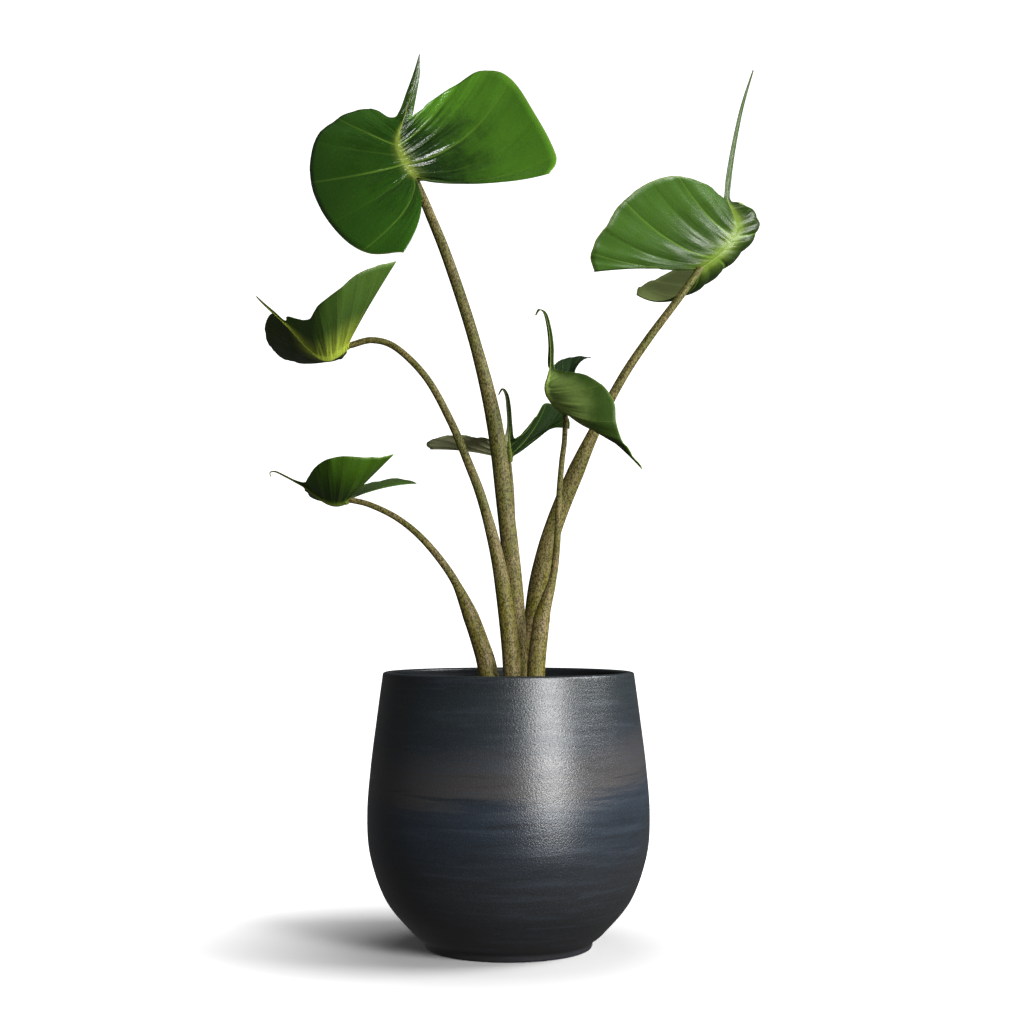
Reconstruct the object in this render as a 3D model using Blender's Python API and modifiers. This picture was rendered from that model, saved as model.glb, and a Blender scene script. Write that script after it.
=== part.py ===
"""A potted stingray alocasia: a glazed round pot, potting mix, and six leaves, each a petiole and a blade.

Metres, +Z up. The origin is the centre of the pot's flat foot. The plant is described as it is seen from
the front: x to the right, y away from the viewer and z up, in millimetres on the plane through the pot's
axis. The function seen carries such a point back along the viewer's line of sight to its own depth.
"""

import math

import bmesh
import bpy
from mathutils import Vector

MM = 0.001

# The viewer, for the points that are read from the front.
VIEW_DISTANCE = 1700.0
EYE_HEIGHT = 338.0

# The pot, a turned form: (radius, height) from the rim down to the foot.
POT_OUTSIDE = [(125.5, 272.5), (131.5, 228.0), (137.5, 180.0), (141.0, 133.0), (138.0, 92.0),
               (123.0, 49.0), (98.0, 18.0), (86.5, 8.0)]
POT_HEIGHT = 274.5
FOOT_RADIUS = 84.0
FOOT_EDGE = 2.5
WALL = 8.0
FLOOR = 14.0
POT_SIDES = 48

# The potting mix inside it.
SOIL_TOP = 242.0
SOIL_MOUND = 5.0
SOIL_LUMP = 1.6
LUMPS_ACROSS = 0.21
LUMPS_BACK = 0.19
SOIL_SIDES = 40
GAP = 0.35
HOLE_LENGTH = 45.0
HOLE_SIDES = 16

# The blades.
BLADE_THICK = 0.8
MIDRIB_DEEP = 4.2
VEIN_DEEP = 1.0
ROWS_PER_RIB = 3
ROWS_PER_TAIL_POINT = 2
COLUMNS = 5
COLUMN_POWER = 1.5
RIB_ROOT_POWER = 1.6
SWEEP = 0.3
QUILT = 1.8
WAVE = 0.9
TAIL_TAPER = 0.75
TIP_HALF_WIDTH = 0.6

# The petioles.
PETIOLE_SIDES = 12
PETIOLE_ROWS_PER_POINT = 2
SHEATH_LIP = 0.12
SHEATH_TURN = 0.62
SHEATH_LIP_SPREAD = 0.55
SHEATH_GROOVE = 0.8
SHEATH_END = 0.12

# Each leaf: its petiole from the soil to the blade, with its radius at both ends, a taper that is higher
# where it thins sooner, the share of it that is sheathed and how much the sheath adds to the radius. Then
# the midrib from the petiole to the tail, the tail, and the margin of each wing from the lobe beside the
# petiole round to the tail. The bows are how far the middle of a rib stands off the straight line, from the
# lobe's edge round to the tail.
LEAVES = {
    "a": {
        "petiole": [(9, 9, 222), (8.5, 9, 273), (6.5, 8, 345), (-4, 6, 445), (-14.5, 2, 525),
                    (-34, -3, 605), (-60, -9, 685), (-80, -11, 735), (-92.6, -14.6, 764.3)],
        "radii": (8.8, 4.0), "taper": 0.9, "sheath": 0.62, "swell": 1.5, "inner": (1.0, 0.2, 0.0),
        "midrib": [(-94, -20, 769), (-105, -15, 787), (-111, -6, 805), (-106, 8, 824)],
        "tail": [(-102, 14, 836), (-97, 19, 854), (-92, 22, 873), (-89, 24, 892)],
        "tail_width": 9.0,
        "left": [(-105, -80, 694), (-146, -66, 695), (-179, -38, 723), (-198, -6, 764), (-194, 12, 805),
                 (-171, 20, 828), (-140, 19, 838), (-117, 13, 829)],
        "left_bows": [(12, -4, 2), (0, -10, 4), (0, -6, 2), (0, 0, 0)],
        "right": [(41, -54, 773), (47.5, -46, 791), (28, -20, 830), (2, 12, 868), (-26, 27, 876),
                  (-54, 28, 861), (-78, 23, 845), (-95, 16, 830)],
        "right_bows": [(2, 8, -6), (2, 12, -6), (0, 8, -4), (0, 2, 0)],
    },
    "b": {
        "petiole": [(20, 32, 222), (21.5, 31, 273), (27.3, 28, 345), (35, 23, 386), (47, 18, 425),
                    (64, 12, 467), (84, 6, 511), (112, 0, 565), (139, -4, 606), (169, -7, 646),
                    (189.8, -2.2, 674.6)],
        "radii": (8.1, 3.6), "taper": 1.3, "sheath": 0.64, "swell": 3.4, "inner": (-1.0, 0.0, 0.3),
        "midrib": [(191, 0, 677), (207, 13, 688), (222, 30, 703), (229, 42, 719), (222, 52, 738)],
        "tail": [(219, 55, 748), (220.5, 57, 768), (225.5, 58, 800), (234, 58, 840), (245, 56, 876)],
        "tail_width": 5.5,
        "left": [(86, -38, 674), (83, -54, 693), (95, -62, 716), (116, -66, 745), (142, -60, 764),
                 (170, -42, 770), (196, -8, 763), (212, 40, 751)],
        "left_bows": [(0, 4, 3), (6, 16, -2), (4, 14, -2), (2, 2, 0)],
        "right": [(128, 58, 651), (130, 74, 658), (143, 84, 665), (162, 92, 674), (189, 94, 691),
                  (212, 88, 713), (228, 74, 731), (231, 58, 742)],
        "right_bows": [(3, 5, -17), (24, 6, -13), (34, 5, 0), (32, 5, 7), (10, 3, 2)],
    },
    "c": {
        "petiole": [(4, -17, 222), (3.5, -17, 273), (-1.5, -16, 325), (-10.5, -14, 385), (-26, -12, 445),
                    (-41, -9, 485), (-58, -6, 525), (-82, -4, 568), (-112, -2, 598), (-136, -1, 606),
                    (-157.9, 0.1, 601)],
        "radii": (8.7, 3.2), "taper": 2.2, "sheath": 0.38, "swell": 1.5, "inner": (0.6, 0.4, 0.6),
        "midrib": [(-162, 1, 601), (-174, 2, 591), (-185, 2, 588), (-199, 1, 598), (-214, 0, 614)],
        "tail": [(-226, 0, 626), (-236, -1, 635), (-245, -1, 643), (-252, -1, 650)],
        "tail_width": 5.5,
        "left": [(-112, -62, 685), (-129, -74, 681), (-150, -80, 673), (-171, -76, 656), (-190, -60, 641),
                 (-198, -40, 628), (-209, -20, 627), (-221, -7, 630)],
        "left_bows": [(-4, -4, -6), (-2, -8, -5), (-1, -5, -3), (0, 0, 0)],
        "right": [(-172, 92, 588), (-190, 104, 584), (-212, 102, 584), (-231, 86, 592), (-242, 64, 608),
                  (-243, 42, 622), (-238, 22, 632), (-232, 8, 631)],
        "right_bows": [(2, 4, -4), (2, 4, -4), (1, 2, -2), (0, 0, 0)],
    },
    "d": {
        "petiole": [(-16, 2, 222), (-20.5, 0, 273), (-29, -3, 305), (-42, -4, 340), (-58, -5, 372),
                    (-84, -6, 405), (-110, -6, 427), (-138, -6, 441), (-158.3, -5, 446)],
        "radii": (8.2, 2.9), "taper": 2.2, "sheath": 0.46, "swell": 3.0, "inner": (0.7, 0.2, 0.6),
        "midrib": [(-163, -5, 446), (-174, -4, 443), (-187, -3, 448), (-203, -2, 460)],
        "tail": [(-214, -2, 466), (-224, -2, 471), (-233, -2, 475), (-239, -2, 474), (-238, -2, 469)],
        "tail_width": 2.4,
        "left": [(-115, -48, 492), (-130, -60, 489), (-146, -66, 489), (-164, -66, 490), (-181, -58, 487),
                 (-193, -42, 479), (-200, -24, 469), (-204, -9, 464)],
        "left_bows": [(0, -4, -1), (-2, -10, -5), (-1, -6, -3), (0, 0, 0)],
        "right": [(-92, 62, 463), (-112, 84, 468), (-140, 98, 463), (-168, 96, 452), (-188, 80, 446),
                  (-198, 56, 450), (-203, 32, 456), (-206, 10, 461)],
        "right_bows": [(0, 2, 4), (0, 4, 2), (0, 2, 0), (0, 0, 0)],
    },
    "e": {
        "petiole": [(0.5, 42, 222), (2, 42, 273), (4, 42, 340), (4, 47, 400), (3, 54, 450),
                    (0.6, 60.5, 481.5)],
        "radii": (4.8, 2.6), "taper": 1.2, "sheath": 0.4, "swell": 1.0, "inner": (0.0, -1.0, 0.0),
        "midrib": [(0, 62, 487), (0, 52, 491), (0, 40, 497), (0, 33, 506)],
        "tail": [(1, 31, 520), (0, 31, 538), (-2, 31, 551), (-6, 31, 557), (-10, 31, 551)],
        "tail_width": 3.4,
        "left": [(61, 80, 517), (60, 92, 527), (50, 96, 537), (37, 84, 543), (27, 64, 530), (16, 46, 514),
                 (6, 36, 508)],
        "left_bows": [(-3, 0, 12), (2, 4, -1), (1, 2, 0), (0, 0, 0)],
        "right": [(-78, 78, 497), (-82, 62, 503), (-70, 42, 509), (-50, 28, 511), (-30, 24, 509),
                  (-15, 27, 507), (-6, 32, 507)],
        "right_bows": [(0, 0, 3), (0, 0, 2), (0, 0, 1), (0, 0, 0)],
    },
    "f": {
        "petiole": [(26, -30, 222), (27.5, -25, 273), (31, -22, 310), (34.5, -20, 333), (44.5, -19, 368),
                    (48.3, -21, 399), (49.5, -22, 422), (51, -24, 455), (53.5, -27, 485), (56, -29, 505),
                    (57, -32.1, 529.8)],
        "radii": (5.2, 2.6), "taper": 1.6, "sheath": 0.4, "swell": 4.2, "inner": (-0.3, 1.0, 0.0),
        "midrib": [(57, -34, 535), (47, -36, 543), (39, -40, 556), (41, -42, 568)],
        "tail": [(43, -42, 580), (43, -41, 600), (41, -40, 618), (37, -40, 633), (31, -40, 637),
                 (27, -40, 631)],
        "tail_width": 4.6,
        "left": [(134, -62, 477), (122, -74, 495), (113, -84, 508), (108, -92, 525), (106, -90, 544),
                 (94, -80, 561), (74, -64, 572), (53, -48, 575)],
        "left_bows": [(0, -6, 6), (-6, -14, -3), (-3, -8, -2), (0, 0, 0)],
        "right": [(83, 38, 589), (72, 40, 590), (62, 30, 589), (54, 10, 587), (49, -12, 584),
                  (46, -28, 580), (45, -37, 578), (45, -41, 577)],
        "right_bows": [(-4, 6, 14), (0, 2, 4), (0, 0, 0), (0, 0, 0)],
    },
}

# Colours as the eye sees them, in sRGB shares, and how rough each surface is.
GLAZE = ((0.15, 0.16, 0.18), 0.45)
MIX = ((0.13, 0.09, 0.06), 0.95)
LEAF_GREEN = ((0.16, 0.30, 0.06), 0.35)
STALK_OLIVE = ((0.46, 0.44, 0.27), 0.6)


def seen(point):
    """The point, in metres, that a viewer in front sees at x, z on the axis's plane, at the depth y."""
    x, y, z = point
    reach = 1 + y / VIEW_DISTANCE
    return Vector((x * reach, y, EYE_HEIGHT + (z - EYE_HEIGHT) * reach)) * MM


def spline(points, t):
    """The place t along a smooth curve through the points, one unit of t from each point to the next."""
    last = len(points) - 1
    first = min(max(int(t), 0), last - 1)
    f = t - first
    a, b, c, d = (points[min(max(k, 0), last)] for k in range(first - 1, first + 3))
    return 0.5 * (2 * b + (c - a) * f + (2 * a - 5 * b + 4 * c - d) * f**2 + (3 * b - a - 3 * c + d) * f**3)


def material(name, look):
    """A plain Principled surface of the given sRGB colour and roughness."""
    made = bpy.data.materials.new(name)
    made.use_nodes = True
    shader = made.node_tree.nodes["Principled BSDF"]
    colour, roughness = look
    shader.inputs["Base Color"].default_value = [share**2.2 for share in colour] + [1]
    shader.inputs["Roughness"].default_value = roughness
    return made


def add_object(name, mesh, look, collection):
    """A named object of the mesh, shaded smooth, in the collection."""
    mesh.materials.append(look)
    mesh.shade_smooth()
    made = bpy.data.objects.new(name, mesh)
    collection.objects.link(made)
    return made


def mesh_of(form, name):
    """The bmesh as a mesh, and the bmesh freed."""
    mesh = bpy.data.meshes.new(name)
    form.to_mesh(mesh)
    form.free()
    return mesh


def wing_lines(leaf):
    """The midrib and both margins as matching lists of points, one for each rib and then for the tail."""
    midrib = [seen(p) for p in leaf["midrib"]]
    left = [seen(p) for p in leaf["left"]]
    right = [seen(p) for p in leaf["right"]]
    ribs = len(left)
    roots = [spline(midrib, (i / (ribs - 1)) ** RIB_ROOT_POWER * (len(midrib) - 1)) for i in range(ribs)]
    sideways = (right[-1] - left[-1]).normalized()
    tail = [seen(p) for p in leaf["tail"]]
    for k, point in enumerate(tail, start=1):
        share = (1 - k / len(tail)) ** TAIL_TAPER
        half = (TIP_HALF_WIDTH + (leaf["tail_width"] - TIP_HALF_WIDTH) * share) * MM
        roots.append(point)
        left.append(point - sideways * half)
        right.append(point + sideways * half)
    return roots, left, right


def middles(roots, margin, bows, ribs):
    """The middle point of each rib: bowed, and swept towards the lobe, less so towards the tail."""
    bows = [Vector(bow) * MM for bow in bows]
    made = []
    for i, (root, edge) in enumerate(zip(roots, margin)):
        middle = (root + edge) / 2
        if i < ribs:
            middle += spline(bows, i / (ribs - 1) * (len(bows) - 1))
        if 0 < i < ribs:
            middle += (margin[i - 1] - edge) * SWEEP * (1 - i / ribs)
        made.append(middle)
    return made


def blade_surface(leaf):
    """A function of (across, along) that gives a point of the blade, across from -1 to 1, and its ribs."""
    roots, left, right = wing_lines(leaf)
    ribs = len(leaf["left"])
    left_middle = middles(roots, left, leaf["left_bows"], ribs)
    right_middle = middles(roots, right, leaf["right_bows"], ribs)

    def smooth_point(across, along):
        middle, margin = (left_middle, left) if across < 0 else (right_middle, right)
        s = abs(across)
        root = spline(roots, along)
        return (root * (1 - s) * (1 - 2 * s) + spline(middle, along) * 4 * s * (1 - s)
                + spline(margin, along) * s * (2 * s - 1))

    def point(across, along):
        """The smooth point, raised between its ribs as a quilted leaf is, and waved at its edge."""
        step = 0.02
        here = smooth_point(across, along)
        side = smooth_point(min(across + step, 1), along) - smooth_point(max(across - step, -1), along)
        ahead = smooth_point(across, along + step) - smooth_point(across, max(along - step, 0))
        up = side.cross(ahead).normalized()
        s = abs(across)
        swell = QUILT * math.sin(math.pi * along) ** 2 * 4 * s * (1 - s)
        wave = WAVE * math.sin(math.tau * along) * s**3
        return here + up * (swell + wave) * MM if along < ribs - 1 else here

    return point, ribs, len(roots)


def add_blade(name, leaf, look, collection):
    """A thin blade with its midrib and lateral ribs raised on the underside."""
    point, ribs, stations = blade_surface(leaf)
    wing_rows = (ribs - 1) * ROWS_PER_RIB
    tail_rows = (stations - ribs) * ROWS_PER_TAIL_POINT
    rows = wing_rows + tail_rows
    form = bmesh.new()
    bmesh.ops.create_grid(form, x_segments=2 * COLUMNS, y_segments=rows, size=1)
    thickness = []
    for vertex in form.verts:
        column = vertex.co.x
        row = round((vertex.co.y + 1) / 2 * rows)
        if row <= wing_rows:
            along = row / ROWS_PER_RIB
        else:
            along = ribs - 1 + (row - wing_rows) / ROWS_PER_TAIL_POINT
        across = math.copysign(abs(column) ** COLUMN_POWER, column)
        vertex.co = point(across, along)
        towards_tip = 1 - along / (stations - 1)
        deep = 0.0
        if abs(column) < 0.5 / COLUMNS:
            deep = MIDRIB_DEEP * towards_tip
        elif row <= wing_rows and row % ROWS_PER_RIB == 0:
            deep = VEIN_DEEP * (1 - abs(across))
        thickness.append((BLADE_THICK + deep) / (BLADE_THICK + MIDRIB_DEEP))
    blade = add_object(name, mesh_of(form, name), look, collection)
    group = blade.vertex_groups.new(name="thickness")
    for index, weight in enumerate(thickness):
        group.add([index], weight, "REPLACE")
    split = blade.modifiers.new("alike on both faces", "TRIANGULATE")
    split.quad_method = "FIXED"
    shell = blade.modifiers.new("thickness", "SOLIDIFY")
    shell.thickness = (BLADE_THICK + MIDRIB_DEEP) * MM
    shell.offset = -1
    shell.vertex_group = "thickness"
    return blade


def petiole_radius(leaf, share):
    """The radius at this share of the petiole's length: thicker towards the soil and in the sheath."""
    base, top = leaf["radii"]
    sheathed = min(1.0, max(0.0, (leaf["sheath"] - share) / SHEATH_END))
    return top + (base - top) * (1 - share) ** leaf["taper"] + leaf["swell"] * sheathed


def add_petiole(name, leaf, look, collection):
    """A tapered stalk, with the two lips of its sheath along the side that faces the plant's middle."""
    line = [seen(p) for p in leaf["petiole"]]
    rows = (len(line) - 1) * PETIOLE_ROWS_PER_POINT
    inner = Vector(leaf["inner"])
    form = bmesh.new()
    bmesh.ops.create_grid(form, x_segments=PETIOLE_SIDES, y_segments=rows, size=1)
    for vertex in form.verts:
        turn = vertex.co.x * math.pi
        share = (vertex.co.y + 1) / 2
        at = share * (len(line) - 1)
        centre = spline(line, at)
        ahead = (spline(line, min(at + 0.1, len(line) - 1)) - spline(line, max(at - 0.1, 0))).normalized()
        towards = (inner - ahead * inner.dot(ahead)).normalized()
        sideways = ahead.cross(towards)
        lip = SHEATH_LIP * max(0.0, 1 - share / leaf["sheath"]) ** 0.5
        near_lip = max(0.0, 1 - abs(abs(turn) - SHEATH_TURN) / SHEATH_LIP_SPREAD)
        groove = max(0.0, 1 - abs(turn) / SHEATH_TURN)
        radius = petiole_radius(leaf, share) * MM * (1 + lip * (near_lip - SHEATH_GROOVE * groove))
        vertex.co = centre + (towards * math.cos(turn) + sideways * math.sin(turn)) * radius
    bmesh.ops.remove_doubles(form, verts=form.verts, dist=0.00001)
    bmesh.ops.holes_fill(form, edges=[edge for edge in form.edges if edge.is_boundary])
    bmesh.ops.recalc_face_normals(form, faces=form.faces)
    return add_object(name, mesh_of(form, name), look, collection)


def turned(name, profile, sides):
    """A mesh turned about Z from a profile of (radius, height) points in millimetres, its poles merged."""
    form = bmesh.new()
    corners = [form.verts.new((radius * MM, 0, height * MM)) for radius, height in profile]
    edges = [form.edges.new(pair) for pair in zip(corners, corners[1:])]
    bmesh.ops.spin(form, geom=corners + edges, axis=(0, 0, 1), cent=(0, 0, 0), angle=math.tau, steps=sides,
                   use_merge=True)
    bmesh.ops.remove_doubles(form, verts=form.verts, dist=0.00001)
    bmesh.ops.recalc_face_normals(form, faces=form.faces)
    return mesh_of(form, name)


def outside_curve(steps):
    """Points down the pot's outside, from the rim to the foot."""
    points = [Vector((radius, height, 0)) for radius, height in POT_OUTSIDE]
    count = (len(points) - 1) * steps
    return [tuple(spline(points, k / steps)[:2]) for k in range(count + 1)]


def inner_radius(height):
    """The radius of the pot's cavity at this height."""
    curve = outside_curve(4)
    above = [r for r, z in curve if z >= height]
    return (above[-1] if above else curve[0][0]) - WALL


def pot_profile():
    """The pot's section: floor inside, wall up to the rounded rim, down the outside and under the foot."""
    outside = outside_curve(2)
    rim_radius = outside[0][0]
    inside = [(r - WALL, z) for r, z in reversed(outside) if z > FLOOR + 12]
    floor_edge = inside[0][0] - 10
    rim = [(rim_radius - WALL + 1.5, POT_HEIGHT - 0.6), (rim_radius - WALL / 2, POT_HEIGHT),
           (rim_radius - 1.5, POT_HEIGHT - 0.6)]
    foot = [(FOOT_RADIUS, 5.0), (FOOT_RADIUS, FOOT_EDGE), (FOOT_RADIUS - FOOT_EDGE, 0)]
    return [(0, FLOOR), (floor_edge, FLOOR)] + inside + rim + outside + foot + [(0, 0)]


def soil_profile():
    """The mix's section: it follows the cavity a hair's breadth clear, and is mounded in the middle."""
    curve = [(r - WALL - GAP, z) for r, z in reversed(outside_curve(2)) if FLOOR + 12 < z < SOIL_TOP]
    floor_edge = curve[0][0] - 10
    wall = inner_radius(SOIL_TOP) - GAP - 0.6
    return ([(0, FLOOR + GAP), (floor_edge, FLOOR + GAP)] + curve
            + [(wall, SOIL_TOP - 2), (wall - 4, SOIL_TOP), (80, SOIL_TOP + 1.5), (50, SOIL_TOP + 3),
               (25, SOIL_TOP + 4), (0, SOIL_TOP + SOIL_MOUND)])


def add_pot(look, collection):
    """The glazed pot, one turned body."""
    return add_object("pot", turned("pot", pot_profile(), POT_SIDES), look, collection)


def add_hole_cutter(name, leaf, collection):
    """A round cutter a little wider than a petiole's foot, down the petiole's own line."""
    foot, above = (seen(p) for p in leaf["petiole"][:2])
    direction = (above - foot).normalized()
    start = foot - direction * 1.0 * MM
    widest = (leaf["radii"][0] + leaf["swell"]) * (1 + SHEATH_LIP) + GAP
    form = bmesh.new()
    bmesh.ops.create_cone(form, cap_ends=True, segments=HOLE_SIDES, radius1=widest * MM,
                          radius2=widest * MM, depth=HOLE_LENGTH * MM)
    turn = direction.to_track_quat("Z", "Y").to_matrix()
    bmesh.ops.rotate(form, verts=form.verts, cent=(0, 0, 0), matrix=turn)
    bmesh.ops.translate(form, verts=form.verts, vec=start + direction * HOLE_LENGTH / 2 * MM)
    cutter = bpy.data.objects.new(name, mesh_of(form, name))
    cutter.hide_render = True
    cutter.display_type = "WIRE"
    collection.objects.link(cutter)
    return cutter


def add_soil(look, collection, cutters):
    """The potting mix, lumpy on top, with a plain hole for each petiole."""
    mesh = turned("potting_mix", soil_profile(), SOIL_SIDES)
    for vertex in mesh.vertices:
        x, y, z = (c / MM for c in vertex.co)
        if z > SOIL_TOP - 0.5:
            vertex.co.z += SOIL_LUMP * MM * math.sin(x * LUMPS_ACROSS + 1) * math.cos(y * LUMPS_BACK)
    soil = add_object("potting_mix", mesh, look, collection)
    for name, leaf in LEAVES.items():
        cut = soil.modifiers.new("hole for petiole " + name, "BOOLEAN")
        cut.operation = "DIFFERENCE"
        cut.object = add_hole_cutter("cutter_" + name, leaf, cutters)
    return soil


def main():
    for old in list(bpy.data.objects):
        bpy.data.objects.remove(old)
    plant = bpy.data.collections.new("potted_alocasia")
    cutters = bpy.data.collections.new("cutters")
    for collection in (plant, cutters):
        bpy.context.scene.collection.children.link(collection)
    add_pot(material("dark glazed stoneware", GLAZE), plant)
    add_soil(material("potting mix", MIX), plant, cutters)
    green = material("alocasia leaf", LEAF_GREEN)
    olive = material("mottled stalk", STALK_OLIVE)
    for name, leaf in LEAVES.items():
        add_petiole("petiole_" + name, leaf, olive, plant)
        add_blade("blade_" + name, leaf, green, plant)


main()
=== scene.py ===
"""How the potted alocasia looks: fine blades, stalks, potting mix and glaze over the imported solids.

Millimetres in the named values, metres in the scene, +Z up, the origin at the centre of the pot's foot. The
forms repeat part.py's named values at a finer step and add the veins, creases, crumbs and finishes.
"""

import math
import random

import bmesh
import bpy
from mathutils import Matrix, Vector, noise


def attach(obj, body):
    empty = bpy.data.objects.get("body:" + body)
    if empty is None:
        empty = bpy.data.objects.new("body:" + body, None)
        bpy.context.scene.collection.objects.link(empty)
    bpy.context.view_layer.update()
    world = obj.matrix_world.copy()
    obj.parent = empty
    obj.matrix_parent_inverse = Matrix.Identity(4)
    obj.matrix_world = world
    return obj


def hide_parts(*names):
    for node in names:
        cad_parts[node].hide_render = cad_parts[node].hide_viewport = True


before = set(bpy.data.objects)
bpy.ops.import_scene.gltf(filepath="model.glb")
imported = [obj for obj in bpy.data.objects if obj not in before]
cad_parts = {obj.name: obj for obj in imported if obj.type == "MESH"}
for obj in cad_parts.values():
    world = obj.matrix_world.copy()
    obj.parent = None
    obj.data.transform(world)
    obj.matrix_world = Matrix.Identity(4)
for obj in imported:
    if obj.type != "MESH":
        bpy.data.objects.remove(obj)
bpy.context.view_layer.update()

MM = 0.001

# Points of a form that lie closer than this, in metres, are one point.
SAME_POINT = 0.00001

# The viewer, for the points that are read from the front.
VIEW_DISTANCE = 1700.0
EYE_HEIGHT = 338.0

# The camera: its lens in millimetres on a 36 mm sensor, its rise as a share of the picture's width.
CAMERA_LENS = 59.73
CAMERA_RISE = 0.09375
CAMERA_SIDE = 3.5

# The studio, in metres: the paper floor, its glow away from the pot and its sweep up at the back.
FLOOR_HALF = 6.0
PAPER_WHITE = 0.62
GLOW_START = 0.12
GLOW_FULL = 0.47
SWEEP_START = 1.6
SWEEP_RADIUS = 1.2
SWEEP_STEPS = 16
BACK_HEIGHT = 4.0
ROOM_LIGHT = 0.08

# Each lamp: its name, its place and what it is turned to, its width and height, its power in watts and
# whether glossy surfaces mirror it.
LAMPS = [
    ("window_right", (1.02, -1.48, 0.74), (0, 0, 0.74), 0.5, 1.18, 54, True),
    ("side_right", (1.8, -0.25, 1.35), (0, 0, 0.3), 1.1, 0.9, 62, True),
    ("overhead", (0.0, 0.5, 2.3), (0, 0, 0.4), 1.3, 1.3, 20, False),
    ("fill_left", (-1.5, -1.5, 1.2), (0, 0, 0.5), 1.4, 1.4, 5, False),
]

# The pot, a turned form: (radius, height) from the rim down to the foot.
POT_OUTSIDE = [(125.5, 272.5), (131.5, 228.0), (137.5, 180.0), (141.0, 133.0), (138.0, 92.0),
               (123.0, 49.0), (98.0, 18.0), (86.5, 8.0)]
POT_HEIGHT = 274.5
RIM_STEPS = 10
RIM_RISE = 2.0
FOOT_RADIUS = 84.0
FOOT_TOP = 5.0
FOOT_FILLET = 0.6
FOOT_FILLET_RISE = 1.4
FOOT_EDGE = 2.5
FOOT_ROUNDING = 0.7
WALL = 8.0
FLOOR = 14.0
INSIDE_START = FLOOR + 12.0
FLOOR_INSET = 10.0
POT_SIDES = 180
POT_STEPS = 12

# The potting mix inside it.
SOIL_TOP = 242.0
SOIL_MOUND = 5.0
MOUND_RADIUS = 100.0
MIX_SINK = 1.5
MIX_EDGE_DROP = 2.0
MIX_WALL_END = SOIL_TOP - 4.0
MIX_STEPS = 4
SOIL_SIDES = 144
GAP = 0.35

# The blades.
BLADE_THICK = 0.8
MIDRIB_DEEP = 4.2
MIDRIB_SHARE = 0.045
VEIN_DEEP = 0.3
VEIN_DEEP_WIDTH = 1.2
ROWS_PER_RIB = 18
ROWS_PER_TAIL_POINT = 6
COLUMNS = 30
COLUMN_POWER = 1.5
RIB_ROOT_POWER = 1.6
SWEEP = 0.3
QUILT = 1.8
WAVE = 0.9
TAIL_TAPER = 0.75
TIP_HALF_WIDTH = 0.6
SLOPE_STEP = 0.02

# The petioles.
PETIOLE_SIDES = 36
PETIOLE_ROWS_PER_POINT = 12
SHEATH_LIP = 0.12
SHEATH_TURN = 0.62
SHEATH_LIP_SPREAD = 0.55
SHEATH_GROOVE = 0.8
SHEATH_END = 0.12
PETIOLE_STEP = 0.1
PETIOLE_END_TAPER = 0.55

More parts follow.
